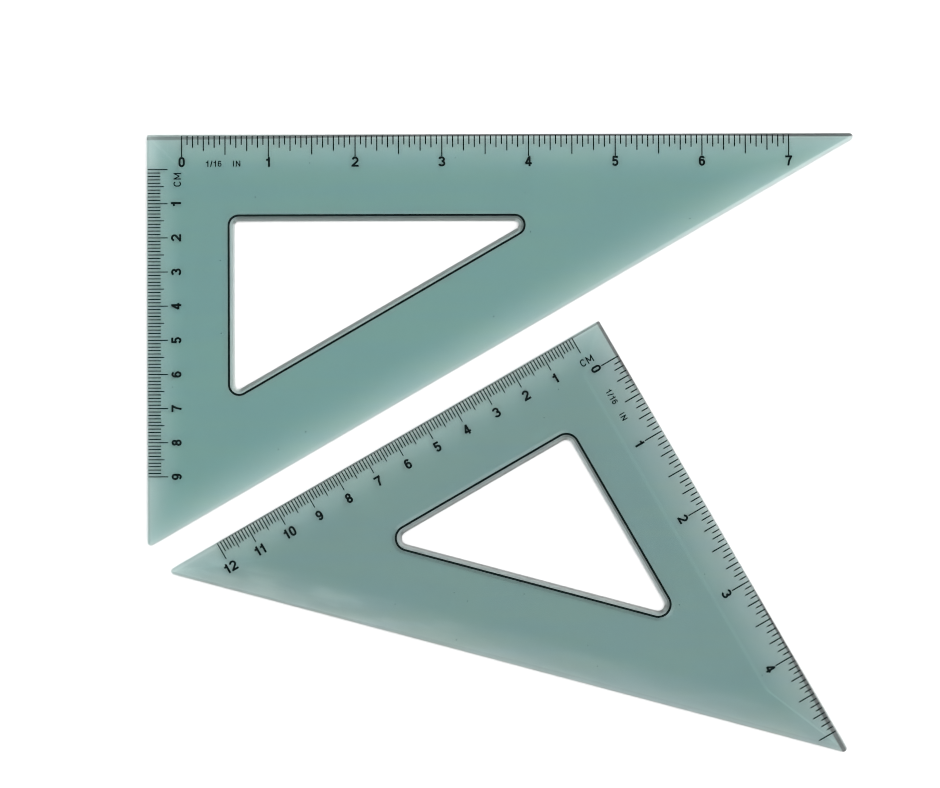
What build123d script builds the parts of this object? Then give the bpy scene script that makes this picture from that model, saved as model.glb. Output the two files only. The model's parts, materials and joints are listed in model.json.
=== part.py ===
# A matched pair of clear drafting triangles lying flat: a 30-60-90 and, beside its long
# edge, a 45-45-90. Each is one moulded plate with bevelled drawing edges and a triangular
# finger opening, and its graduations are thin films of ink on the upper face.
# Millimetres. X runs along the inch leg of the 30-60-90, Z up, the table at Z = 0 and
# the origin under the middle of the pair.
import os
from math import atan2, cos, degrees, radians, sin, tan

from build123d import *

# Plate section, shared by both triangles
plate_thickness = 2.0
edge_thickness = 1.0
bevel_width = 11.0
crest_blend = 1.8
tip_radius = 1.0
corner_radius = 0.4

# Narrow lip chamfered along each drawing edge
inch_lip_width = 0.9
inch_lip_drop = 0.4
cm_lip_width = 0.3
cm_lip_drop = 0.15
long_lip_width = 0.9
long_lip_drop = 0.45

# Finger opening: a sunk ledge whose inner part slopes down to a short upright wall, with a
# printed line around it
rim_width = 1.45
ledge_thickness = 0.8
ledge_slope_width = 1.0
rim_wall = 0.5
line_width = 0.6

# 30-60-90 triangle, with the plate left between each drawing edge and the opening
short_leg_30_60 = 121.0
tip_angle_30_60 = 30.0
inch_border_30_60 = 25.4
cm_border_30_60 = 25.7
long_border_30_60 = 26.7
opening_radius_30_60 = 1.2

# 45-45-90 triangle
leg_45 = 146.7
inch_border_45 = 24.8
cm_border_45 = 25.1
long_border_45 = 26.0
opening_radius_45 = 1.9

# How the pair lies: the gap between the facing edges, and how far the square corner of
# the 45-45-90 stands from the sharpest tip of the other
pair_gap = 8.8
tip_lead = 94.3

# Graduations: where each zero stands from the square corner, and how much further from the
# edge the ticks of the 30-60-90 reach
ink_thickness = 0.05
tick_start = 0.3
inch_zero_30_60 = 10.25
cm_zero_30_60 = 10.15
inch_zero_45 = 11.75
cm_zero_45 = 9.4
inch_extra_reach_30_60 = 0.5
cm_extra_reach_30_60 = 0.6

# Each ruling: how far from the edge its ticks reach, and the blank left at the tip
inch = 25.4
inch_divisions = 16
inch_tick_reach = 5.95
half_inch_tick_reach = 5.35
quarter_inch_tick_reach = 4.3
eighth_inch_tick_reach = 3.35
sixteenth_inch_tick_reach = 2.45
inch_tick_width = 0.34
inch_end_blank = 6.0
centimetre = 10.0
cm_divisions = 10
cm_tick_reach = 5.5
half_cm_tick_reach = 4.4
millimetre_tick_reach = 3.4
cm_tick_width = 0.3
cm_end_blank = 14.0

# Sizes that follow from those above
long_leg_30_60 = short_leg_30_60 / tan(radians(tip_angle_30_60))
bevel_rise = plate_thickness - edge_thickness
bevel_angle = atan2(bevel_rise, bevel_width)
cut_margin = plate_thickness
# Ticks by how many divisions apart they stand, the longest first
inch_reach = {
    16: inch_tick_reach,
    8: half_inch_tick_reach,
    4: quarter_inch_tick_reach,
    2: eighth_inch_tick_reach,
    1: sixteenth_inch_tick_reach,
}
cm_reach = {10: cm_tick_reach, 5: half_cm_tick_reach, 1: millimetre_tick_reach}
inch_ruling = (inch, inch_divisions, inch_reach, inch_tick_width, inch_end_blank)
cm_ruling = (centimetre, cm_divisions, cm_reach, cm_tick_width, cm_end_blank)


def rounded_triangle(corners, radii):
    with BuildSketch() as outline:
        with BuildLine():
            FilletPolyline(*corners, radius=radii, close=True)
        make_face()
    return outline.sketch


def plate_outline(corners):
    # The square corner comes first and is all but sharp
    return rounded_triangle(corners, (corner_radius, tip_radius, tip_radius))


def opening_outline(corners, opening, outset):
    # The finger opening, or a line that runs around it at an even distance.
    # Each border belongs to the side that leaves the corner of the same index.
    borders, radius = opening
    inner_corners = []
    for index, corner in enumerate(corners):
        arriving = (corner - corners[index - 1]).normalized()
        leaving = (corners[(index + 1) % len(corners)] - corner).normalized()
        turn = arriving.cross(leaving).Z
        to_leaving_side = borders[index] - outset
        to_arriving_side = borders[index - 1] - outset
        inner_corners.append(corner + (leaving * to_arriving_side - arriving * to_leaving_side) / turn)
    return rounded_triangle(inner_corners, [radius + outset] * len(corners))


def bevel_section(start, end, lip_width, lip_drop):
    # What is planed off one edge, leaving the bevel, its soft crest and its lip.
    # X points into the plate and Y up, and the cut runs along the side from its start.
    along = (end - start).normalized()
    lip_top = edge_thickness + lip_width * tan(bevel_angle)
    crest_start = (
        bevel_width - crest_blend * cos(bevel_angle),
        plate_thickness - crest_blend * sin(bevel_angle),
    )
    crest_end = (bevel_width + crest_blend, plate_thickness)
    cut_top = plate_thickness + cut_margin
    with BuildSketch(Plane(start, x_dir=along.rotate(Axis.Z, 90), z_dir=along)) as section:
        with BuildLine():
            Polyline(
                (crest_end[0], cut_top),
                (-cut_margin, cut_top),
                (-cut_margin, edge_thickness - lip_drop),
                (0, edge_thickness - lip_drop),
                (lip_width, lip_top),
                crest_start,
            )
            TangentArc(crest_start, crest_end, tangent=(cos(bevel_angle), sin(bevel_angle)))
            Line(crest_end, (crest_end[0], cut_top))
        make_face()
    return section.sketch


def triangle_plate(corners, opening):
    # Corners run from the square corner to the centimetre tip and on to the inch tip
    square, cm_tip, inch_tip = corners
    sides = (
        (square, cm_tip, cm_lip_width, cm_lip_drop),
        (cm_tip, inch_tip, long_lip_width, long_lip_drop),
        (inch_tip, square, inch_lip_width, inch_lip_drop),
    )
    with BuildPart() as plate:
        extrude(plate_outline(corners), amount=plate_thickness)
        for start, end, lip_width, lip_drop in sides:
            section = bevel_section(start, end, lip_width, lip_drop)
            extrude(section, amount=(end - start).length, mode=Mode.SUBTRACT)
        extrude(opening_outline(corners, opening, 0), amount=plate_thickness, mode=Mode.SUBTRACT)
        with BuildSketch(Plane.XY.offset(ledge_thickness)):
            add(opening_outline(corners, opening, rim_width))
        extrude(amount=plate_thickness, mode=Mode.SUBTRACT)
        ledge = plate.faces().filter_by(Axis.Z).sort_by(Axis.Z)[1]
        chamfer(
            ledge.inner_wires()[0].edges(),
            length=ledge_slope_width,
            length2=ledge_thickness - rim_wall,
            reference=ledge,
        )
    return plate


def opening_line(corners, opening):
    # Ring of ink on the flat of the plate, just outside the sunk ledge
    with BuildPart() as line:
        with BuildSketch(Plane.XY.offset(plate_thickness)):
            add(opening_outline(corners, opening, rim_width + line_width))
            add(opening_outline(corners, opening, rim_width), mode=Mode.SUBTRACT)
        extrude(amount=ink_thickness)
    return line


def graduations(plate, square, tip, inward, zero, ruling, extra_reach=0):
    # Ticks drawn flat as seen from above, then kept as a film on the plate's upper surface
    unit, divisions, reach, tick_width, end_blank = ruling
    along = (tip - square).normalized()
    turn = degrees(atan2(inward.Y, inward.X))
    units = int(((tip - square).length - zero - end_blank) // unit)
    first_tick = square + along * zero + inward * tick_start
    drawn = set()
    with BuildPart() as scale:
        with BuildSketch():
            for step, length in reach.items():
                ticks = set(range(0, units * divisions + 1, step)) - drawn
                drawn |= ticks
                tick_length = length + extra_reach - tick_start
                with Locations(*[first_tick + along * (tick * unit / divisions) for tick in sorted(ticks)]):
                    Rectangle(tick_length, tick_width, rotation=turn, align=(Align.MIN, Align.CENTER))
        extrude(amount=plate_thickness + ink_thickness)
        with Locations((0, 0, ink_thickness)):
            add(plate.part, mode=Mode.INTERSECT)
        add(plate.part, mode=Mode.SUBTRACT)
    return scale


# Corners of the 30-60-90 with its square corner at the drawing's zero, then those of the
# 45-45-90, whose centimetre leg lies along the long edge of the other
long_edge = Vector(-cos(radians(tip_angle_30_60)), -sin(radians(tip_angle_30_60)))
away = long_edge.rotate(Axis.Z, 90)
inch_tip_30_60 = Vector(long_leg_30_60, 0)
drawing_30_60 = [Vector(0, 0), Vector(0, -short_leg_30_60), inch_tip_30_60]
square_45 = inch_tip_30_60 + long_edge * tip_lead + away * pair_gap
drawing_45 = [square_45, square_45 + long_edge * leg_45, square_45 + away * leg_45]

# The origin goes to the middle of both outlines
with BuildSketch() as outlines:
    add(plate_outline(drawing_30_60))
    add(plate_outline(drawing_45))
middle = outlines.sketch.bounding_box().center()
corners_30_60 = [corner - middle for corner in drawing_30_60]
corners_45 = [corner - middle for corner in drawing_45]
opening_30_60 = ((cm_border_30_60, long_border_30_60, inch_border_30_60), opening_radius_30_60)
opening_45 = ((cm_border_45, long_border_45, inch_border_45), opening_radius_45)

plate_30_60 = triangle_plate(corners_30_60, opening_30_60)
plate_45 = triangle_plate(corners_45, opening_45)
opening_line_30_60 = opening_line(corners_30_60, opening_30_60)
opening_line_45 = opening_line(corners_45, opening_45)

square, cm_tip, inch_tip = corners_30_60
inch_scale_30_60 = graduations(
    plate_30_60, square, inch_tip, Vector(0, -1), inch_zero_30_60, inch_ruling, inch_extra_reach_30_60
)
cm_scale_30_60 = graduations(
    plate_30_60, square, cm_tip, Vector(1, 0), cm_zero_30_60, cm_ruling, cm_extra_reach_30_60
)
square, cm_tip, inch_tip = corners_45
inch_scale_45 = graduations(plate_45, square, inch_tip, long_edge, inch_zero_45, inch_ruling)
cm_scale_45 = graduations(plate_45, square, cm_tip, away, cm_zero_45, cm_ruling)

plate_30_60.part.label = "plate_30_60"
inch_scale_30_60.part.label = "inch_scale_30_60"
cm_scale_30_60.part.label = "cm_scale_30_60"
opening_line_30_60.part.label = "opening_line_30_60"
plate_45.part.label = "plate_45"
inch_scale_45.part.label = "inch_scale_45"
cm_scale_45.part.label = "cm_scale_45"
opening_line_45.part.label = "opening_line_45"

os.makedirs("parts", exist_ok=True)
export_step(plate_30_60.part, "parts/plate_30_60.step")
export_step(inch_scale_30_60.part, "parts/inch_scale_30_60.step")
export_step(cm_scale_30_60.part, "parts/cm_scale_30_60.step")
export_step(opening_line_30_60.part, "parts/opening_line_30_60.step")
export_step(plate_45.part, "parts/plate_45.step")
export_step(inch_scale_45.part, "parts/inch_scale_45.step")
export_step(cm_scale_45.part, "parts/cm_scale_45.step")
export_step(opening_line_45.part, "parts/opening_line_45.step")
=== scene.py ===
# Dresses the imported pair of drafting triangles: smoky clear plastic, printed scales,
# and the numerals and unit marks that the solids leave out. Metres throughout.
import json
import math

import bmesh
import bpy
from mathutils import Matrix, Vector

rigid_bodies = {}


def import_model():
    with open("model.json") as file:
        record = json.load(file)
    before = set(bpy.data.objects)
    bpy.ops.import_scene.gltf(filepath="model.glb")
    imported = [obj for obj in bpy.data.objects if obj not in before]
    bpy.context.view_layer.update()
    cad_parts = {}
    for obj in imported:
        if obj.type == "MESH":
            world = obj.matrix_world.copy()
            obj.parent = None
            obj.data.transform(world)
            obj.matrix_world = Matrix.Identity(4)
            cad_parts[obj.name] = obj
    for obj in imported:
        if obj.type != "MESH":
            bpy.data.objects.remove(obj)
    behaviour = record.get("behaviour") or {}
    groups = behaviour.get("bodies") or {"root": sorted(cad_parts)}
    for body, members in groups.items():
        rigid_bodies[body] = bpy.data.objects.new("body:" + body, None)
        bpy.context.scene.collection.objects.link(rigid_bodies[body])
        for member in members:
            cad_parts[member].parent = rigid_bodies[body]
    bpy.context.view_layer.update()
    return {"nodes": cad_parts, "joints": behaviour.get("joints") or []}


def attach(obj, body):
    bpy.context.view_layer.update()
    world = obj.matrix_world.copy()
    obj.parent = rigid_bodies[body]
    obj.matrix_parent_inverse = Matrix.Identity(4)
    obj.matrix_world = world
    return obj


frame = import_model()
scene = bpy.context.scene
mm = 0.001
sideNames = ("First", "Second", "Third")


def addNode(tree, kind, place, **settings):
    node = tree.nodes.new(kind)
    node.location = place
    for setting, value in settings.items():
        setattr(node, setting, value)
    return node


def feed(tree, socket, value):
    if isinstance(value, bpy.types.NodeSocket):
        tree.links.new(value, socket)
    else:
        socket.default_value = value


def mathNode(tree, operation, place, *values, clamp=False):
    node = addNode(tree, "ShaderNodeMath", place, operation=operation, use_clamp=clamp)
    for socket, value in zip(node.inputs, values):
        feed(tree, socket, value)
    return node.outputs[0]


def vectorNode(tree, operation, place, *values):
    node = addNode(tree, "ShaderNodeVectorMath", place, operation=operation)
    sockets = [node.inputs[0], node.inputs["Scale"]] if operation == "SCALE" else node.inputs
    for socket, value in zip(sockets, values):
        feed(tree, socket, value)
    return node.outputs["Value" if operation in ("DOT_PRODUCT", "LENGTH") else "Vector"]


def smoothRange(tree, place, value, low, high, start, end):
    node = addNode(tree, "ShaderNodeMapRange", place, interpolation_type="SMOOTHSTEP")
    for socket, given in zip(node.inputs, (value, low, high, start, end)):
        feed(tree, socket, given)
    return node.outputs[0]


def mixColour(tree, place, factor, first, second, blend="MIX"):
    node = addNode(tree, "ShaderNodeMix", place, data_type="RGBA", blend_type=blend)
    for index, given in ((0, factor), (6, first), (7, second)):
        feed(tree, node.inputs[index], given)
    return node.outputs[2]


def grayRamp(tree, place, value, stops):
    node = addNode(tree, "ShaderNodeValToRGB", place)
    elements = node.color_ramp.elements
    while len(elements) < len(stops):
        elements.new(1.0)
    for element, (position, gray) in zip(elements, stops):
        element.position = position
        element.color = (gray, gray, gray, 1)
    tree.links.new(value, node.inputs["Fac"])
    return node.outputs["Color"]


def newMaterial(name):
    material = bpy.data.materials.new(name)
    material.use_nodes = True
    tree = material.node_tree
    return material, tree, tree.nodes["Principled BSDF"]


def newGroup(name, inputs, outputs):
    group = bpy.data.node_groups.new(name, "ShaderNodeTree")
    for label, kind, value in inputs:
        socket = group.interface.new_socket(label, in_out="INPUT", socket_type="NodeSocket" + kind)
        if value is not None:
            socket.default_value = value
    for label, kind in outputs:
        group.interface.new_socket(label, in_out="OUTPUT", socket_type="NodeSocket" + kind)
    entry = addNode(group, "NodeGroupInput", (-900, 0))
    leave = addNode(group, "NodeGroupOutput", (900, 0))
    return group, entry.outputs, leave.inputs


# Fine scratches in a few directions, thinned out by patches, with specks and a slow drift of tint
handling = {
    "scratchTurns": (0.35, 1.25, 2.4),
    "scratchStretch": (0.05, 3.0, 1),
    "scratchDetail": 1,
    "scratchCut": (0.66, 0.72),
    "patchScale": 35,
    "patchDetail": 3,
    "flowStretch": (16, 250, 16),
    "driftCut": (0.8, 1.2),
}


def makeHandlingMarks():
    group, given, result = newGroup(
        "handlingMarks",
        [
            ("Vector", "Vector", None),
            ("Scratch Scale", "Float", 240.0),
            ("Scratch Spread", "Float", 0.5),
            ("Speck Scale", "Float", 150.0),
            ("Speck Size", "Float", 0.03),
        ],
        [("Scratches", "Float"), ("Specks", "Float"), ("Drift", "Float")],
    )
    links = group.links
    scratches = None
    for index, turn in enumerate(handling["scratchTurns"]):
        level = 300 - 260 * index
        mapping = addNode(group, "ShaderNodeMapping", (-650, level))
        mapping.inputs["Rotation"].default_value = (0, 0, turn)
        mapping.inputs["Scale"].default_value = handling["scratchStretch"]
        links.new(given["Vector"], mapping.inputs["Vector"])
        noise = addNode(group, "ShaderNodeTexNoise", (-450, level))
        noise.inputs["Detail"].default_value = handling["scratchDetail"]
        links.new(mapping.outputs[0], noise.inputs["Vector"])
        links.new(given["Scratch Scale"], noise.inputs["Scale"])
        lines = smoothRange(group, (-250, level), noise.outputs["Fac"], *handling["scratchCut"], 0.0, 1.0)
        scratches = mathNode(group, "MAXIMUM", (0, level), lines, scratches or 0.0)
    patches = addNode(group, "ShaderNodeTexNoise", (-450, -520))
    patches.inputs["Scale"].default_value = handling["patchScale"]
    patches.inputs["Detail"].default_value = handling["patchDetail"]
    links.new(given["Vector"], patches.inputs["Vector"])
    worn = mathNode(group, "GREATER_THAN", (-200, -520), patches.outputs["Fac"], given["Scratch Spread"])
    links.new(mathNode(group, "MULTIPLY", (200, 200), scratches, worn), result["Scratches"])
    specks = addNode(group, "ShaderNodeTexVoronoi", (-450, -760))
    links.new(given["Vector"], specks.inputs["Vector"])
    links.new(given["Speck Scale"], specks.inputs["Scale"])
    dots = mathNode(group, "LESS_THAN", (-200, -760), specks.outputs["Distance"], given["Speck Size"])
    links.new(dots, result["Specks"])
    flow = addNode(group, "ShaderNodeMapping", (-650, -1000))
    flow.inputs["Scale"].default_value = handling["flowStretch"]
    links.new(given["Vector"], flow.inputs["Vector"])
    streaks = addNode(group, "ShaderNodeTexNoise", (-450, -1000))
    streaks.inputs["Scale"].default_value = 1
    links.new(flow.outputs[0], streaks.inputs["Vector"])
    both = mathNode(group, "ADD", (-200, -1000), patches.outputs["Fac"], streaks.outputs["Fac"])
    links.new(smoothRange(group, (0, -1000), both, *handling["driftCut"], 0.0, 1.0), result["Drift"])
    return group


bandCore = 0.35  # share of a band's half width that is at full strength


# How a band lies across a direction: full over its core and gone at its half width
def bandNode(tree, place, value, centre, half):
    core = mathNode(tree, "MULTIPLY", (place[0], place[1] - 150), half, bandCore)
    off = mathNode(tree, "SUBTRACT", place, value, centre)
    off = mathNode(tree, "ABSOLUTE", (place[0] + 150, place[1]), off)
    return smoothRange(tree, (place[0] + 300, place[1]), off, core, half, 1.0, 0.0)


# Painted sheen in streaks on a slope: its grain along the edge and across it, and where in the noise the
# streaks begin and fill
sheenGrain = {"along": 60.0, "across": 260.0, "detail": 3, "cut": (0.42, 0.62)}


# Along one drawing edge: the way in from it, a line of painted shade that shifts, widens at the tip and may
# leave a gap, a paler margin, a painted glint just inside the edge and a painted sheen in streaks on the
# slope, both glowing
def makeEdgeLine():
    group, given, result = newGroup(
        "edgeLine",
        [
            ("Vector", "Vector", None),
            ("Outward", "Vector", None),
            ("Edge", "Float", 0.0),
            ("Start", "Float", 0.0),
            ("Lead", "Float", 0.0),
            ("Run", "Float", 70 * mm),
            ("Near Inset", "Float", 0.5 * mm),
            ("Far Inset", "Float", 0.5 * mm),
            ("Near Half", "Float", 0.5 * mm),
            ("Far Half", "Float", 0.5 * mm),
            ("Near Shade", "Float", 0.5),
            ("Far Shade", "Float", 0.5),
            ("Tip Lead", "Float", 1.0),
            ("Tip Run", "Float", 2.0),
            ("Tip Inset", "Float", 0.5 * mm),
            ("Tip Half", "Float", 0.5 * mm),
            ("Gap Centre", "Float", -1.0),
            ("Gap From", "Float", 0.0),
            ("Gap To", "Float", 1 * mm),
            ("Pale Reach", "Float", 5 * mm),
            ("Glint Inset", "Float", 0.9 * mm),
            ("Glint Half", "Float", 0.5 * mm),
            ("Near Glint", "Float", 0.0),
            ("Far Glint", "Float", 0.0),
            ("Sheen Centre", "Float", 4.5 * mm),
            ("Sheen Half", "Float", 5.5 * mm),
            ("Near Smears", "Float", 0.0),
            ("Far Smears", "Float", 0.0),
        ],
        [("Inward", "Float"), ("Line", "Float"), ("Pale", "Float"), ("Glint", "Float"), ("Smears", "Float")],
    )
    across = vectorNode(group, "DOT_PRODUCT", (-700, 200), given["Vector"], given["Outward"])
    inward = mathNode(group, "SUBTRACT", (-520, 200), given["Edge"], across)
    group.links.new(inward, result["Inward"])
    run = vectorNode(group, "CROSS_PRODUCT", (-700, -100), given["Outward"], (0, 0, 1))
    along = vectorNode(group, "DOT_PRODUCT", (-520, -100), given["Vector"], run)
    beyond = mathNode(group, "SUBTRACT", (-350, -100), along, given["Start"])
    travel = mathNode(group, "ABSOLUTE", (-180, -100), beyond)
    changing = {}
    for index, label in enumerate(("Inset", "Half", "Shade", "Glint", "Smears")):
        stretch = given["Lead"], given["Run"]
        ends = given["Near " + label], given["Far " + label]
        changing[label] = smoothRange(group, (0, -100 - 150 * index), travel, *stretch, *ends)
    for index, label in enumerate(("Inset", "Half")):
        stretch = given["Tip Lead"], given["Tip Run"]
        ends = changing[label], given["Tip " + label]
        changing[label] = smoothRange(group, (100, -900 - 150 * index), travel, *stretch, *ends)
    line = bandNode(group, (200, 100), inward, changing["Inset"], changing["Half"])
    toGap = mathNode(group, "SUBTRACT", (-180, -600), travel, given["Gap Centre"])
    toGap = mathNode(group, "ABSOLUTE", (0, -600), toGap)
    kept = smoothRange(group, (200, -600), toGap, given["Gap From"], given["Gap To"], 0.0, 1.0)
    kept = mathNode(group, "MULTIPLY", (400, -500), kept, changing["Shade"])
    line = mathNode(group, "MULTIPLY", (650, 0), line, kept)
    group.links.new(line, result["Line"])
    pale = smoothRange(group, (450, 400), inward, 0.0, given["Pale Reach"], 1.0, 0.0)
    group.links.new(pale, result["Pale"])
    glint = bandNode(group, (200, 600), inward, given["Glint Inset"], given["Glint Half"])
    shown = mathNode(group, "SUBTRACT", (650, 500), 1.0, line)
    shown = mathNode(group, "MULTIPLY", (650, 650), shown, changing["Glint"])
    group.links.new(mathNode(group, "MULTIPLY", (700, 600), glint, shown), result["Glint"])
    flow = addNode(group, "ShaderNodeCombineXYZ", (-180, 900))
    group.links.new(mathNode(group, "MULTIPLY", (-350, 950), along, sheenGrain["along"]), flow.inputs["X"])
    group.links.new(mathNode(group, "MULTIPLY", (-350, 800), inward, sheenGrain["across"]), flow.inputs["Y"])
    noise = addNode(group, "ShaderNodeTexNoise", (0, 900))
    noise.inputs["Scale"].default_value = 1
    noise.inputs["Detail"].default_value = sheenGrain["detail"]
    group.links.new(flow.outputs[0], noise.inputs["Vector"])
    smears = smoothRange(group, (200, 900), noise.outputs["Fac"], *sheenGrain["cut"], 0.0, 1.0)
    sloped = bandNode(group, (200, 1150), inward, given["Sheen Centre"], given["Sheen Half"])
    sloped = mathNode(group, "MULTIPLY", (500, 1000), sloped, changing["Smears"])
    group.links.new(mathNode(group, "MULTIPLY", (700, 900), smears, sloped), result["Smears"])
    return group


facetTolerance = 0.001 * mm  # two ways in that differ by less are the same


# Where the first sloped edge meets the flat, and where the three meet each other, from the ways in.
# Each meeting line is as strong as is set for the edge opposite its corner; the plastic paints these lines
# paler, as painted highlights.
def makeFacetLines():
    group, given, result = newGroup(
        "facetLines",
        [
            ("First", "Float", 0.0),
            ("Second", "Float", 0.0),
            ("Third", "Float", 0.0),
            ("Crest", "Float", 11.7 * mm),
            ("Half Width", "Float", 0.75 * mm),
            ("Opposite First", "Float", 1.0),
            ("Opposite Second", "Float", 1.0),
            ("Opposite Third", "Float", 1.0),
        ],
        [("Ridge", "Float"), ("Mitre", "Float")],
    )
    lower = mathNode(group, "MINIMUM", (-600, 100), given["First"], given["Second"])
    upper = mathNode(group, "MAXIMUM", (-600, -100), given["First"], given["Second"])
    least = mathNode(group, "MINIMUM", (-400, 200), lower, given["Third"])
    rest = mathNode(group, "MINIMUM", (-400, -100), upper, given["Third"])
    middle = mathNode(group, "MAXIMUM", (-250, 0), lower, rest)
    ridge = bandNode(group, (0, 300), given["First"], given["Crest"], given["Half Width"])
    others = mathNode(group, "MINIMUM", (0, 500), given["Second"], given["Third"])
    flat = mathNode(group, "GREATER_THAN", (300, 450), others, given["Crest"])
    group.links.new(mathNode(group, "MULTIPLY", (500, 300), ridge, flat), result["Ridge"])
    mitre = bandNode(group, (0, -100), middle, least, given["Half Width"])
    sloped = mathNode(group, "LESS_THAN", (300, -300), least, given["Crest"])
    mitre = mathNode(group, "MULTIPLY", (500, -200), mitre, sloped)
    most = mathNode(group, "MAXIMUM", (-400, -500), upper, given["Third"])
    strength = 0.0
    for index, label in enumerate(sideNames):
        level = -500 - 180 * index
        farthest = mathNode(group, "COMPARE", (-100, level), given[label], most, facetTolerance)
        opposite = given["Opposite " + label]
        strength = mathNode(group, "MULTIPLY_ADD", (150, level), farthest, opposite, strength)
    group.links.new(mathNode(group, "MULTIPLY", (700, -300), mitre, strength), result["Mitre"])
    return group


# The way from a straight run to a point beside it
def makeRunOffset():
    group, given, result = newGroup(
        "runOffset",
        [("Vector", "Vector", None), ("From", "Vector", None), ("To", "Vector", None)],
        [("Offset", "Vector"), ("Distance", "Float")],
    )
    run = vectorNode(group, "SUBTRACT", (-650, -200), given["To"], given["From"])
    reach = vectorNode(group, "SUBTRACT", (-650, 100), given["Vector"], given["From"])
    covered = vectorNode(group, "DOT_PRODUCT", (-450, 100), reach, run)
    whole = vectorNode(group, "DOT_PRODUCT", (-450, -200), run, run)
    share = mathNode(group, "DIVIDE", (-250, 0), covered, whole, clamp=True)
    foot = vectorNode(group, "SCALE", (-50, -100), run, share)
    offset = vectorNode(group, "SUBTRACT", (150, 0), reach, foot)
    group.links.new(offset, result["Offset"])
    group.links.new(vectorNode(group, "LENGTH", (350, -100), offset), result["Distance"])
    return group


# Distance out from the edge of a round-cornered opening, and how far its side turns to the light's bearing,
# for painted shade
def makeOpeningRim(runOffset):
    group, given, result = newGroup(
        "openingRim",
        [
            ("Vector", "Vector", None),
            ("First", "Vector", None),
            ("Second", "Vector", None),
            ("Third", "Vector", None),
            ("Radius", "Float", 1 * mm),
            ("Light Bearing", "Vector", None),
        ],
        [("Across", "Float"), ("Facing", "Float")],
    )
    links = group.links
    flat = vectorNode(group, "MULTIPLY", (-700, 0), given["Vector"], (1, 1, 0))
    nearest, offset = None, None
    for index, start in enumerate(sideNames):
        level = 300 - 250 * index
        side = addNode(group, "ShaderNodeGroup", (-500, level), node_tree=runOffset)
        links.new(flat, side.inputs["Vector"])
        links.new(given[start], side.inputs["From"])
        links.new(given[sideNames[(index + 1) % 3]], side.inputs["To"])
        distance = side.outputs["Distance"]
        if nearest is None:
            nearest, offset = distance, side.outputs["Offset"]
            continue
        closer = mathNode(group, "LESS_THAN", (-250, level), distance, nearest)
        pick = addNode(group, "ShaderNodeMix", (0, level), data_type="VECTOR")
        links.new(closer, pick.inputs[0])
        links.new(offset, pick.inputs[4])
        links.new(side.outputs["Offset"], pick.inputs[5])
        offset = pick.outputs[1]
        nearest = mathNode(group, "MINIMUM", (-250, level - 100), distance, nearest)
    links.new(mathNode(group, "SUBTRACT", (400, 200), nearest, given["Radius"]), result["Across"])
    outward = vectorNode(group, "NORMALIZE", (250, -100), offset)
    links.new(vectorNode(group, "DOT_PRODUCT", (450, -100), outward, given["Light Bearing"]), result["Facing"])
    return group


handlingMarks = makeHandlingMarks()
edgeLine = makeEdgeLine()
facetLines = makeFacetLines()
openingRim = makeOpeningRim(makeRunOffset())
print("node groups ready")
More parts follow.
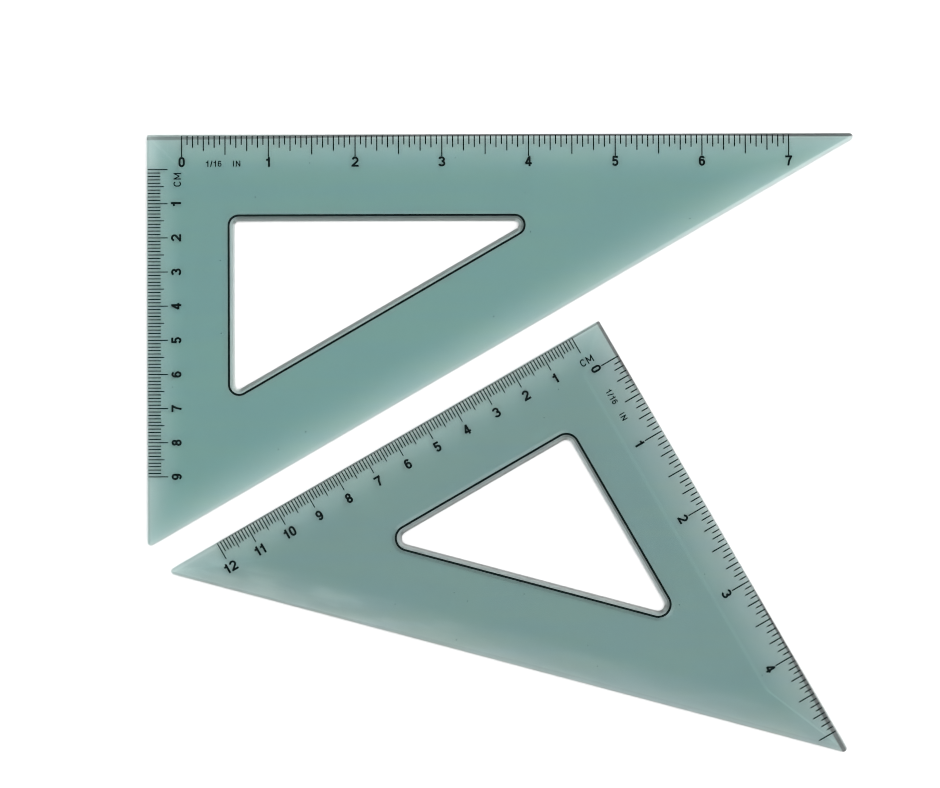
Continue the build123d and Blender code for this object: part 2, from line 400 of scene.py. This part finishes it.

# Smoky clear plastic: tinted right through, so it pales where the plate thins to its edges. The
# surface drifts between two tints. Ridge and mitre are how far the lines between its slopes are painted
# paler, as painted highlights, mitreGlint how much a mitre glows as a painted glint, and corners how strongly
# a mitre shows opposite each edge. Round the opening, lip and halo have painted shade or a painted glint by
# the side they face to the light, as stops of a ramp.
# Each edge, a leg from the square corner on and the long edge from its centimetre tip, has a line of painted
# shade with its inset, half width and depth at both ends of a run. Tip is a second run with the inset and
# half width at its end, and gap a break in the line: its centre, and how far from there the line begins to
# come back and is whole. Pale is the reach and strength of a paler margin, glint an inset, half width and
# strength at both ends of the run of a painted glint that glows, and the last pair the strength there of a
# painted sheen in streaks on the slope, which glows too.
plastics = {
    "plate_30_60": {
        "surface": [(0.963, 0.964, 0.921, 1), (0.942, 0.952, 0.939, 1)],
        "ridge": 0.05,
        "mitre": 0.35,
        "mitreGlint": 0.035,
        "corners": (0.1, 1.0, 0.2),
        "absorb": (0.0786, 0.527, 0.519, 1),
        "density": 420.0,
        "line": "opening_line_30_60",
        "openingRadius": 1.2 * mm,
        "lip": [(0.1, 0.0), (0.9, 0.0)],
        "lipGlint": [(0.12, 0.15), (0.3, 0.0)],
        "haloShade": [(0.1, 0.0), (0.9, 0.0)],
        "haloGlint": [(0.1, 0.025), (0.9, 0.025)],
        "edges": [
            {
                "outward": (0, 1, 0),
                "run": (0, 95 * mm),
                "inset": (0.98 * mm, 0.15 * mm),
                "half": (0.7 * mm, 0.65 * mm),
                "tip": (160 * mm, 196 * mm, 0.4 * mm, 0.82 * mm),
                "shade": (0.82, 1.0),
                "pale": (8 * mm, 0.8),
                "glint": (0.9 * mm, 0.5 * mm, 0.02, 0.12),
            },
            {
                "outward": (0.5, -0.8660254, 0),
                "run": (130 * mm, 215 * mm),
                "inset": (0.1 * mm, 0.1 * mm),
                "half": (0.3 * mm, 0.3 * mm),
                "shade": (0.0, 0.0),
                "pale": (2.5 * mm, 1.0),
                "glint": (0.55 * mm, 0.7 * mm, 0.045, 0.19),
            },
            {
                "outward": (-1, 0, 0),
                "run": (5 * mm, 14 * mm),
                "inset": (0.5 * mm, 0.5 * mm),
                "half": (0.4 * mm, 0.4 * mm),
                "shade": (0.15, 0.15),
                "pale": (10 * mm, 0.8),
                "glint": (0.3 * mm, 4.5 * mm, 0.06, 0.0),
            },
        ],
    },
    "plate_45": {
        "surface": [(0.856, 0.809, 0.788, 1), (0.836, 0.8, 0.806, 1)],
        "ridge": 0.22,
        "mitre": 0.45,
        "mitreGlint": 0.01,
        "corners": (0.35, 0.4, 1.0),
        "absorb": (0.24, 0.648, 0.63, 1),
        "density": 420.0,
        "line": "opening_line_45",
        "openingRadius": 1.9 * mm,
        "lip": [(0.1, 0.45), (0.6, 0.45), (0.85, 0.0)],
        "lipGlint": [(0.1, 0.0), (0.9, 0.0)],
        "haloShade": [(0.12, 0.27), (0.3, 0.0)],
        "haloGlint": [(0.3, 0.0), (0.45, 0.08), (0.7, 0.08), (0.9, 0.01)],
        "edges": [
            {
                "outward": (0.8660254, 0.5, 0),
                "run": (50 * mm, 85 * mm),
                "inset": (0.42 * mm, 0.42 * mm),
                "half": (0.75 * mm, 0.52 * mm),
                "tip": (98 * mm, 140 * mm, 1.0 * mm, 0.95 * mm),
                "shade": (0.97, 1.0),
                "gap": (58 * mm, 24 * mm, 44 * mm),
                "pale": (5 * mm, 0.6),
                "glint": (0.8 * mm, 0.5 * mm, 0.05, 0.05),
            },
            {
                "outward": (-0.258819, -0.9659258, 0),
                "run": (40 * mm, 120 * mm),
                "inset": (0.5 * mm, 0.85 * mm),
                "half": (0.45 * mm, 0.8 * mm),
                "shade": (0.25, 0.14),
                "pale": (3 * mm, 0.15),
                "glint": (0.7 * mm, 0.5 * mm, 0.02, 0.02),
                "smears": (0.05, 0.015),
            },
            {
                "outward": (-0.5, 0.8660254, 0),
                "run": (0, 120 * mm),
                "inset": (0.45 * mm, 0.27 * mm),
                "half": (0.4 * mm, 0.45 * mm),
                "shade": (0.65, 0.68),
                "gap": (143 * mm, 11 * mm, 17 * mm),
                "pale": (13 * mm, 0.55),
                "glint": (1.0 * mm, 0.5 * mm, 0.05, 0.05),
            },
        ],
    },
}
# Shade is the colour of painted shade, clear the paler tint, glint the colour of painted glints that glow and
# dark no glow; specks are real marks
sheet = {
    "ior": 1.49,
    "roughness": 0.03,
    "scratchRoughness": 0.1,
    "shade": (0.14, 0.12, 0.12, 1),
    "clear": (1, 0.965, 0.95, 1),
    "glint": (1, 1, 1, 1),
    "dark": (0, 0, 0, 1),
    "speck": (0.35, 0.35, 0.35, 1),
    "underside": 0.1 * mm,
}
# The sunk ledge round an opening: painted shade and light by the side it faces to the light's bearing, in an
# outer and an inner band, with its lip and the halo outside its dark line, where shade or a glint is painted
# too
ledge = {
    "width": 1.45 * mm,
    "line": 0.6 * mm,
    "band": (0.75 * mm, 0.95 * mm),
    "lightBearing": (0.78, 0.626, 0),
    "outer": [(0.1, 0.9), (0.43, 1.0), (0.58, 0.68), (0.81, 0.25), (0.99, 0.33)],
    "inner": [(0.1, 0.95), (0.43, 0.42), (0.58, 0.8), (0.81, 0.5), (0.99, 1.0)],
    "tint": (1.0, 0.92, 0.92, 1),
    "roughness": 0.25,
    "lip": (0.3 * mm, 0.6 * mm),
    "halo": (2.5 * mm, 0.7 * mm),
}


def extent(nodeName, direction):
    reach = [vertex.co.dot(direction) for vertex in frame["nodes"][nodeName].data.vertices]
    return min(reach), max(reach)


# Centres of the opening's corner arcs, found from the dark line that runs round it
def openingCentres(values):
    inset = ledge["width"] + ledge["line"] + values["openingRadius"]
    sides = []
    for edge in values["edges"]:
        outward = Vector(edge["outward"])
        sides.append((outward, extent(values["line"], outward)[1] - inset))
    centres = []
    for index, (first, firstReach) in enumerate(sides):
        second, secondReach = sides[index - 1]
        turn = first.x * second.y - first.y * second.x
        across = (firstReach * second.y - secondReach * first.y) / turn
        up = (first.x * secondReach - second.x * firstReach) / turn
        centres.append((across, up, 0))
    return centres


# Which inputs of an edge line each of an edge's values sets
edgeInputs = {
    "run": ("Lead", "Run"),
    "inset": ("Near Inset", "Far Inset"),
    "half": ("Near Half", "Far Half"),
    "shade": ("Near Shade", "Far Shade"),
    "tip": ("Tip Lead", "Tip Run", "Tip Inset", "Tip Half"),
    "gap": ("Gap Centre", "Gap From", "Gap To"),
    "pale": ("Pale Reach",),
    "glint": ("Glint Inset", "Glint Half", "Near Glint", "Far Glint"),
    "smears": ("Near Smears", "Far Smears"),
}


# Paints paler margins, painted highlights where the slopes meet, lines of painted shade, and painted glints
# and sheen that glow
def shadeEdges(tree, plateName, place, above, colour):
    values = plastics[plateName]
    lines = []
    glints = 0.0
    facets = addNode(tree, "ShaderNodeGroup", (-1050, 700), node_tree=facetLines)
    for index, edge in enumerate(values["edges"]):
        level = 200 - 300 * index
        outward = Vector(edge["outward"])
        low, high = extent(plateName, Vector((outward.y, -outward.x, 0)))
        line = addNode(tree, "ShaderNodeGroup", (-1300, level), node_tree=edgeLine)
        tree.links.new(place, line.inputs["Vector"])
        line.inputs["Outward"].default_value = outward
        line.inputs["Edge"].default_value = extent(plateName, outward)[1]
        line.inputs["Start"].default_value = low if index == 0 else high
        for key, labels in edgeInputs.items():
            for label, value in zip(labels, edge.get(key, ())):
                line.inputs[label].default_value = value
        tree.links.new(line.outputs["Inward"], facets.inputs[sideNames[index]])
        facets.inputs["Opposite " + sideNames[index]].default_value = values["corners"][index]
        light = mathNode(tree, "MULTIPLY", (-1050, level + 150), line.outputs["Pale"], edge["pale"][1])
        colour = mixColour(tree, (-700, level + 200), light, colour, sheet["clear"])
        lines.append(mathNode(tree, "MULTIPLY", (-1050, level), line.outputs["Line"], above))
        for step, label in ((-150, "Glint"), (-300, "Smears")):
            bright = mathNode(tree, "MULTIPLY", (-1050, level + step), line.outputs[label], above)
            glints = mathNode(tree, "ADD", (-900, level + step), bright, glints)
    for label in ("Ridge", "Mitre"):
        light = mathNode(tree, "MULTIPLY", (-850, 700), facets.outputs[label], values[label.lower()])
        colour = mixColour(tree, (-650, 700), light, colour, sheet["clear"])
    bright = mathNode(tree, "MULTIPLY", (-850, 900), facets.outputs["Mitre"], above)
    glints = mathNode(tree, "MULTIPLY_ADD", (-650, 900), bright, values["mitreGlint"], glints)
    for index, line in enumerate(lines):
        colour = mixColour(tree, (-500, 300 - 300 * index), line, colour, sheet["shade"])
    return colour, mixColour(tree, (-300, 900), glints, sheet["dark"], sheet["glint"])


# Paints the ledge's shade and light by the side it faces to the light, and painted shade and glints on its
# lip and in its halo
def shadeLedge(tree, plateName, place, above, colour, glint):
    values = plastics[plateName]
    rim = addNode(tree, "ShaderNodeGroup", (-1300, -800), node_tree=openingRim)
    tree.links.new(place, rim.inputs["Vector"])
    for label, centre in zip(sideNames, openingCentres(values)):
        rim.inputs[label].default_value = centre
    rim.inputs["Radius"].default_value = values["openingRadius"]
    rim.inputs["Light Bearing"].default_value = ledge["lightBearing"]
    near = mathNode(tree, "LESS_THAN", (-1050, -700), rim.outputs["Across"], ledge["width"])
    mask = mathNode(tree, "MULTIPLY", (-850, -700), near, above)
    lightBearing = mathNode(tree, "MULTIPLY_ADD", (-1050, -900), rim.outputs["Facing"], 0.5, 0.5)  # 0 to 1
    # Painted shade and light of the ledge, by how its side faces the light
    outer = grayRamp(tree, (-850, -900), lightBearing, ledge["outer"])
    inner = grayRamp(tree, (-850, -1150), lightBearing, ledge["inner"])
    band = smoothRange(tree, (-850, -1400), rim.outputs["Across"], *ledge["band"], 0.0, 1.0)
    gray = mixColour(tree, (-550, -1000), band, inner, outer)
    lip = smoothRange(tree, (-850, -2350), rim.outputs["Across"], *ledge["lip"], 1.0, 0.0)
    lip = mathNode(tree, "MULTIPLY", (-650, -2350), lip, above)
    around = grayRamp(tree, (-850, -2600), lightBearing, values["lip"])
    shade = mathNode(tree, "MULTIPLY", (-550, -2350), around, lip)
    gray = mixColour(tree, (-450, -1000), shade, gray, sheet["shade"])
    around = grayRamp(tree, (-850, -2850), lightBearing, values["lipGlint"])
    glint = mixColour(tree, (-450, -2600), lip, glint, around, blend="ADD")
    # A soft painted halo on the flat, outside the dark line: painted shade on some sides and a painted glint
    # on others
    halo = bandNode(tree, (-1050, -1600), rim.outputs["Across"], *ledge["halo"])
    halo = mathNode(tree, "MULTIPLY", (-550, -1600), halo, above)
    around = grayRamp(tree, (-850, -1850), lightBearing, values["haloShade"])
    shade = mathNode(tree, "MULTIPLY", (-550, -1800), around, halo)
    colour = mixColour(tree, (-350, -1600), shade, colour, sheet["shade"])
    around = grayRamp(tree, (-850, -2100), lightBearing, values["haloGlint"])
    glint = mixColour(tree, (-350, -1900), halo, glint, around, blend="ADD")
    toned = mixColour(tree, (-350, -1000), 1.0, gray, ledge["tint"], blend="MULTIPLY")
    return mixColour(tree, (-150, -700), mask, colour, toned), glint, mask


def makePlastic(plateName):
    values = plastics[plateName]
    material, tree, shader = newMaterial("smokyPlastic_" + plateName)
    links = tree.links
    place = addNode(tree, "ShaderNodeTexCoord", (-1800, 0)).outputs["Object"]
    height = addNode(tree, "ShaderNodeSeparateXYZ", (-1500, -300))
    links.new(place, height.inputs[0])
    above = mathNode(tree, "GREATER_THAN", (-1300, -200), height.outputs["Z"], sheet["underside"])
    marks = addNode(tree, "ShaderNodeGroup", (-1300, 600), node_tree=handlingMarks)
    links.new(place, marks.inputs["Vector"])
    colour = mixColour(tree, (-900, 600), marks.outputs["Drift"], *values["surface"])
    colour = mixColour(tree, (-700, 600), marks.outputs["Specks"], colour, sheet["speck"])
    colour, glint = shadeEdges(tree, plateName, place, above, colour)
    colour, glint, sunk = shadeLedge(tree, plateName, place, above, colour, glint)
    links.new(colour, shader.inputs["Base Color"])
    # Painted glints, highlights and sheen glow from the surface
    links.new(glint, shader.inputs["Emission Color"])
    shader.inputs["Emission Strength"].default_value = 1
    material.cycles.emission_sampling = "NONE"
    rough = sheet["scratchRoughness"], sheet["roughness"]
    rubbed = mathNode(tree, "MULTIPLY_ADD", (-450, -250), marks.outputs["Scratches"], *rough)
    matt = mathNode(tree, "MULTIPLY_ADD", (-250, -250), sunk, ledge["roughness"], rubbed)
    links.new(matt, shader.inputs["Roughness"])
    shader.inputs["IOR"].default_value = sheet["ior"]
    shader.inputs["Transmission Weight"].default_value = 1
    tint = addNode(tree, "ShaderNodeVolumeAbsorption", (200, -300))
    tint.inputs["Color"].default_value = values["absorb"]
    tint.inputs["Density"].default_value = values["density"]
    links.new(tint.outputs[0], tree.nodes["Material Output"].inputs["Volume"])
    return material


# Printing ink, a little thin in places
ink = {
    "dense": (0.0015, 0.004, 0.004, 1),
    "thin": (0.006, 0.012, 0.012, 1),
    "roughness": 0.5,
    "specular": 0.03,
    "patchiness": 900,
    "detail": 3,
}


def makeInk():
    material, tree, shader = newMaterial("printingInk")
    place = addNode(tree, "ShaderNodeTexCoord", (-900, 0))
    cover = addNode(tree, "ShaderNodeTexNoise", (-700, 0))
    cover.inputs["Scale"].default_value = ink["patchiness"]
    cover.inputs["Detail"].default_value = ink["detail"]
    tree.links.new(place.outputs["Object"], cover.inputs["Vector"])
    colour = mixColour(tree, (-350, 100), cover.outputs["Fac"], ink["dense"], ink["thin"])
    tree.links.new(colour, shader.inputs["Base Color"])
    shader.inputs["Roughness"].default_value = ink["roughness"]
    shader.inputs["Specular IOR Level"].default_value = ink["specular"]
    return material


printingInk = makeInk()
# Every other piece, the dark line round each opening with the scales, takes the ink
for name, node in frame["nodes"].items():
    node.data.materials.clear()
    node.data.materials.append(makePlastic(name) if name in plastics else printingInk)
print("plastic and ink on the packed pieces")

# Numerals stand on the sloped drawing edges with their tops towards the edge
numerals = {"height": 3.0 * mm, "pen": 0.6 * mm, "gap": 0.3 * mm, "largest": 12, "film": 0.05 * mm}
# Unit marks: the word, its height, pen and the gap between its letters
unitMarks = {
    "centimetres": {"word": "CM", "height": 2.25 * mm, "pen": 0.33 * mm, "gap": 0.45 * mm},
    "sixteenths": {"word": "1/16", "height": 1.8 * mm, "pen": 0.3 * mm, "gap": 0.3 * mm},
    "inches": {"word": "IN", "height": 1.8 * mm, "pen": 0.3 * mm, "gap": 0.5 * mm},
}
drawingEdge = {"height": 1.0 * mm, "rise": 1.0 * mm, "width": 11.0 * mm}
slideAxis = Vector(frame["joints"][0]["axis"]).normalized()
acrossSlide = Vector((-slideAxis.y, slideAxis.x, 0))
scales = [
    {
        "node": "inch_scale_30_60",
        "plate": "plate_30_60",
        "body": "triangle_30_60",
        "outward": Vector((0, 1, 0)),
        "pitch": 25.4 * mm,
        "tick": 0.34 * mm,
        "first": 0,
        "count": 8,
        "row": 8.0 * mm,
        "marks": [("sixteenths", 9.4 * mm, 8.5 * mm), ("inches", 16.1 * mm, 8.5 * mm)],
    },
    {
        "node": "cm_scale_30_60",
        "plate": "plate_30_60",
        "body": "triangle_30_60",
        "outward": Vector((-1, 0, 0)),
        "pitch": -10 * mm,
        "tick": 0.3 * mm,
        "first": 1,
        "count": 9,
        "row": 8.6 * mm,
        "marks": [("centimetres", -3.0 * mm, 9.0 * mm)],
    },
    {
        "node": "inch_scale_45",
        "plate": "plate_45",
        "body": "triangle_45",
        "outward": slideAxis,
        "pitch": 25.4 * mm,
        "tick": 0.34 * mm,
        "first": 0,
        "count": 5,
        "row": 7.8 * mm,
        "marks": [("sixteenths", 9.4 * mm, 7.9 * mm), ("inches", 16.1 * mm, 7.9 * mm)],
    },
    {
        "node": "cm_scale_45",
        "plate": "plate_45",
        "body": "triangle_45",
        "outward": acrossSlide,
        "pitch": -10 * mm,
        "tick": 0.3 * mm,
        "first": 1,
        "count": 12,
        "row": 8.2 * mm,
        "marks": [("centimetres", 0.4 * mm, 8.4 * mm)],
    },
]
bowStep = 15  # degrees from point to point


# Part of an oval, in degrees anticlockwise from the right
def bow(centre, radii, start, end):
    steps = max(3, round(abs(end - start) / bowStep))
    turns = [math.radians(start + (end - start) * step / steps) for step in range(steps + 1)]
    return [(centre[0] + radii[0] * math.cos(turn), centre[1] + radii[1] * math.sin(turn)) for turn in turns]


# Each character's width against its height, and its pen strokes in a box from 0 to 1 each way.
# A straight stroke runs past the box by about half a pen, and a bowed one that closes ends where it began.
six = [
    bow((0.5, 0.31), (0.5, 0.31), 0, 360),
    [(0, 0.31), (0, 0.48)] + bow((0.5, 0.66), (0.5, 0.34), 180, 30),
]
characters = {
    "0": (0.62, [bow((0.5, 0.7), (0.5, 0.3), 0, 180) + bow((0.5, 0.3), (0.5, 0.3), 180, 360) + [(1, 0.7)]]),
    "1": (0.5, [[(0.7, -0.12), (0.7, 1.12)], [(0.7, 0.88), (0.3, 0.76), (-0.25, 0.74)]]),
    "2": (0.69, [bow((0.5, 0.7), (0.5, 0.3), 170, -30) + [(0.12, 0.08), (0.05, 0)], [(-0.22, 0), (1.22, 0)]]),
    "3": (0.7, [bow((0.46, 0.75), (0.46, 0.25), 165, -90), bow((0.48, 0.26), (0.52, 0.26), 90, -165)]),
    "4": (0.64, [[(0.72, -0.12), (0.72, 1.12)], [(-0.22, 0.24), (1.22, 0.24)], [(0.66, 1.04), (-0.1, 0.24)]]),
    "5": (
        0.62,
        [[(0.02, 1), (1.12, 1)], [(0.12, 1.1), (0.03, 0.46)], bow((0.47, 0.31), (0.53, 0.31), 145, -160)],
    ),
    "6": (0.62, six),
    "7": (0.67, [[(-0.22, 1), (1.22, 1)], [(1.0, 0.98), (0.6, 0.5), (0.4, -0.12)]]),
    "8": (0.62, [bow((0.5, 0.76), (0.44, 0.24), 0, 360), bow((0.5, 0.26), (0.5, 0.26), 0, 360)]),
    "9": (0.62, [[(1 - across, 1 - up) for across, up in stroke] for stroke in six]),
    "/": (0.42, [[(0.0, -0.1), (1.0, 1.1)]]),
    "C": (0.72, [bow((0.5, 0.62), (0.5, 0.38), 30, 180) + bow((0.5, 0.38), (0.5, 0.38), 180, 330)]),
    "I": (0.2, [[(0.5, -0.08), (0.5, 1.08)]]),
    "M": (
        0.86,
        [[(0, -0.08), (0, 1.08)], [(0, 1), (0.5, 0.2)], [(0.5, 0.2), (1, 1)], [(1, -0.08), (1, 1.08)]],
    ),
    "N": (0.74, [[(0, -0.08), (0, 1.08)], [(0, 1.02), (1, -0.02)], [(1, -0.08), (1, 1.08)]]),
}


# The pen strokes of a word, centred, as one curve
def wordCurve(name, word, style):
    height = style["height"]
    pen = style["pen"]
    widths = [characters[character][0] * height for character in word]
    left = -(sum(widths) + style["gap"] * (len(word) - 1)) / 2
    curve = bpy.data.curves.new(name, "CURVE")
    curve.dimensions = "3D"
    for character, width in zip(word, widths):
        for stroke in characters[character][1]:
            closed = math.dist(stroke[0], stroke[-1]) < 0.01  # ends where it began
            points = stroke[:-1] if closed else stroke
            spline = curve.splines.new("POLY")
            spline.points.add(len(points) - 1)
            spline.use_cyclic_u = closed
            for point, (across, up) in zip(spline.points, points):
                over = left + pen / 2 + across * (width - pen)
                point.co = (over, pen / 2 + up * (height - pen) - height / 2, 0, 1)
        left += width + style["gap"]
    return bpy.data.objects.new(name, curve)


# A row of words at an even pitch, each picked from a set of curves and drawn with a flat pen
def makePrintedRow():
    tree = bpy.data.node_groups.new("printedRow", "GeometryNodeTree")
    tree.is_modifier = True
    for label, kind in (
        ("Geometry", "Geometry"),
        ("Words", "Collection"),
        ("First Word", "Int"),
        ("Count", "Int"),
        ("Start", "Float"),
        ("Pitch", "Float"),
        ("Row", "Float"),
        ("Pen", "Float"),
        ("Film", "Float"),
        ("Ink", "Material"),
    ):
        tree.interface.new_socket(label, in_out="INPUT", socket_type="NodeSocket" + kind)
    tree.interface.new_socket("Geometry", in_out="OUTPUT", socket_type="NodeSocketGeometry")
    links = tree.links
    given = addNode(tree, "NodeGroupInput", (-900, 0)).outputs
    leave = addNode(tree, "NodeGroupOutput", (1100, 0)).inputs
    start = addNode(tree, "ShaderNodeCombineXYZ", (-450, 150))
    links.new(given["Start"], start.inputs["X"])
    links.new(mathNode(tree, "MULTIPLY", (-650, 0), given["Row"], -1.0), start.inputs["Y"])
    step = addNode(tree, "ShaderNodeCombineXYZ", (-450, -50))
    links.new(given["Pitch"], step.inputs["X"])
    line = addNode(tree, "GeometryNodeMeshLine", (-250, 100), mode="OFFSET")
    links.new(given["Count"], line.inputs["Count"])
    links.new(start.outputs[0], line.inputs["Start Location"])
    links.new(step.outputs[0], line.inputs["Offset"])
    words = addNode(tree, "GeometryNodeCollectionInfo", (-250, -200))
    words.inputs["Separate Children"].default_value = True
    words.inputs["Reset Children"].default_value = True
    links.new(given["Words"], words.inputs["Collection"])
    index = addNode(tree, "GeometryNodeInputIndex", (-250, -400))
    put = addNode(tree, "GeometryNodeInstanceOnPoints", (200, 50))
    put.inputs["Pick Instance"].default_value = True
    links.new(line.outputs[0], put.inputs["Points"])
    links.new(words.outputs[0], put.inputs["Instance"])
    pick = mathNode(tree, "ADD", (0, -350), index.outputs[0], given["First Word"])
    links.new(pick, put.inputs["Instance Index"])
    real = addNode(tree, "GeometryNodeRealizeInstances", (400, 50))
    links.new(put.outputs[0], real.inputs[0])
    level = addNode(tree, "GeometryNodeSetCurveNormal", (550, 50), mode="Z_UP")
    links.new(real.outputs[0], level.inputs["Curve"])
    pen = addNode(tree, "GeometryNodeCurvePrimitiveQuadrilateral", (550, -200))
    links.new(given["Pen"], pen.inputs["Width"])
    links.new(given["Film"], pen.inputs["Height"])
    drawn = addNode(tree, "GeometryNodeCurveToMesh", (720, 50))
    drawn.inputs["Fill Caps"].default_value = True
    links.new(level.outputs[0], drawn.inputs["Curve"])
    links.new(pen.outputs[0], drawn.inputs["Profile Curve"])
    inked = addNode(tree, "GeometryNodeSetMaterial", (900, 50))
    links.new(drawn.outputs[0], inked.inputs["Geometry"])
    links.new(given["Ink"], inked.inputs["Material"])
    links.new(inked.outputs[0], leave["Geometry"])
    return tree


def setInput(modifier, label, value):
    for item in modifier.node_group.interface.items_tree:
        if item.item_type == "SOCKET" and item.in_out == "INPUT" and item.name == label:
            modifier[item.identifier] = value


# Numbers come first in the set, then the unit marks, in the order of their names
def makeWords():
    words = bpy.data.collections.new("words")
    scene.collection.children.link(words)
    for number in range(numerals["largest"] + 1):
        words.objects.link(wordCurve("number%02d" % number, str(number), numerals))
    for mark in sorted(unitMarks):
        words.objects.link(wordCurve("unit_" + mark, unitMarks[mark]["word"], unitMarks[mark]))
    return words


def rowMesh(tree, words, values):
    row = bpy.data.objects.new("row", bpy.data.meshes.new("row"))
    scene.collection.objects.link(row)
    modifier = row.modifiers.new("printedRow", "NODES")
    modifier.node_group = tree
    for label, value in values.items():
        setInput(modifier, label, value)
    setInput(modifier, "Words", words)
    setInput(modifier, "Film", numerals["film"])
    setInput(modifier, "Ink", printingInk)
    bpy.context.view_layer.update()
    mesh = bpy.data.meshes.new_from_object(row.evaluated_get(bpy.context.evaluated_depsgraph_get()))
    bpy.data.objects.remove(row)
    return mesh


def scaleRows(scale):
    rows = [
        {
            "First Word": scale["first"],
            "Count": scale["count"],
            "Start": scale["first"] * scale["pitch"],
            "Pitch": scale["pitch"],
            "Row": scale["row"],
            "Pen": numerals["pen"],
        }
    ]
    for mark, across, down in scale["marks"]:
        rows.append(
            {
                "First Word": numerals["largest"] + 1 + sorted(unitMarks).index(mark),
                "Count": 1,
                "Start": across,
                "Row": down,
                "Pen": unitMarks[mark]["pen"],
            }
        )
    return rows


# The scale's own ground: X in the reading direction from its zero, Y towards the edge, Z off the slope
def scaleGround(scale):
    outward = scale["outward"]
    reading = Vector((outward.y, -outward.x, 0))
    low, high = extent(scale["node"], reading)
    zero = low + scale["tick"] / 2 if scale["pitch"] > 0 else high - scale["tick"] / 2
    edge = extent(scale["plate"], outward)[1]
    turn = math.atan2(drawingEdge["rise"], drawingEdge["width"])
    up = Vector((0, 0, 1))
    toEdge = outward * math.cos(turn) - up * math.sin(turn)
    off = outward * math.sin(turn) + up * math.cos(turn)
    origin = reading * zero + outward * edge + up * drawingEdge["height"]
    ground = Matrix((reading, toEdge, off)).transposed().to_4x4()
    ground.translation = origin + off * numerals["film"] / 2
    return ground


def makeNumerals():
    tree = makePrintedRow()
    words = makeWords()
    for body in ("triangle_30_60", "triangle_45"):
        gathered = bmesh.new()
        for scale in [entry for entry in scales if entry["body"] == body]:
            ground = scaleGround(scale)
            for values in scaleRows(scale):
                mesh = rowMesh(tree, words, values)
                mesh.transform(ground)
                gathered.from_mesh(mesh)
        bmesh.ops.recalc_face_normals(gathered, faces=gathered.faces)
        mesh = bpy.data.meshes.new("numerals")
        for face in gathered.faces:
            face.material_index = 0
            face.smooth = False
        gathered.to_mesh(mesh)
        gathered.free()
        mesh.materials.append(printingInk)
        piece = bpy.data.objects.new("numerals_" + body.split("_", 1)[1], mesh)
        scene.collection.objects.link(piece)
        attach(piece, body)
        print(piece.name, len(mesh.polygons), "faces")
    for word in list(words.objects):
        bpy.data.objects.remove(word)
    bpy.data.collections.remove(words)


makeNumerals()

# Pale floor, even white light with a soft key from the upper right, and a camera straight above
studio = {
    "floorSize": 3.0,
    "floorGap": 0.25 * mm,
    "floor": (0.9, 0.9, 0.9, 1),
    "sky": 1.235,
    "key": 2.34,
    "keyTightness": 12.0,
    "keyFrom": Vector((0.5, 0.4, 1.0)),
    "aim": Vector((-8.9 * mm, 14.5 * mm, 0)),
    "roll": -0.0027,
    "viewWidth": 275.46 * mm,
    "cameraHeight": 3.0,
    "sensor": 36,
    "farClip": 20,
    "pixelFilter": 1.0,
}


def makeStudio():
    bpy.ops.mesh.primitive_plane_add(size=studio["floorSize"], location=(0, 0, -studio["floorGap"]))
    floor = bpy.context.object
    floor.name = "floor"
    material, tree, shader = newMaterial("floorPaper")
    shader.inputs["Base Color"].default_value = studio["floor"]
    shader.inputs["Roughness"].default_value = 1
    shader.inputs["Specular IOR Level"].default_value = 0
    floor.data.materials.append(material)

    world = bpy.data.worlds.new("studio")
    world.use_nodes = True
    world.cycles.sampling_method = "NONE"
    scene.world = world
    tree = world.node_tree
    sky = tree.nodes["Background"]
    place = addNode(tree, "ShaderNodeTexCoord", (-900, 0))
    keyFrom = studio["keyFrom"].normalized()
    facing = vectorNode(tree, "DOT_PRODUCT", (-700, 0), place.outputs["Generated"], keyFrom)
    facing = mathNode(tree, "MAXIMUM", (-500, 0), facing, 0.0)
    lobe = mathNode(tree, "POWER", (-300, 0), facing, studio["keyTightness"])
    light = mathNode(tree, "MULTIPLY_ADD", (-100, 0), lobe, studio["key"], studio["sky"])
    sky.inputs["Color"].default_value = (1, 1, 1, 1)
    tree.links.new(light, sky.inputs["Strength"])

    view = bpy.data.cameras.new("camera")
    view.sensor_width = studio["sensor"]
    view.lens = studio["sensor"] * studio["cameraHeight"] / studio["viewWidth"]
    view.clip_end = studio["farClip"]
    camera = bpy.data.objects.new("camera", view)
    camera.location = studio["aim"] + Vector((0, 0, studio["cameraHeight"]))
    camera.rotation_euler.z = studio["roll"]
    scene.collection.objects.link(camera)
    scene.camera = camera
    scene.view_settings.view_transform = "Standard"
    scene.cycles.filter_width = studio["pixelFilter"]


makeStudio()
print("studio set")
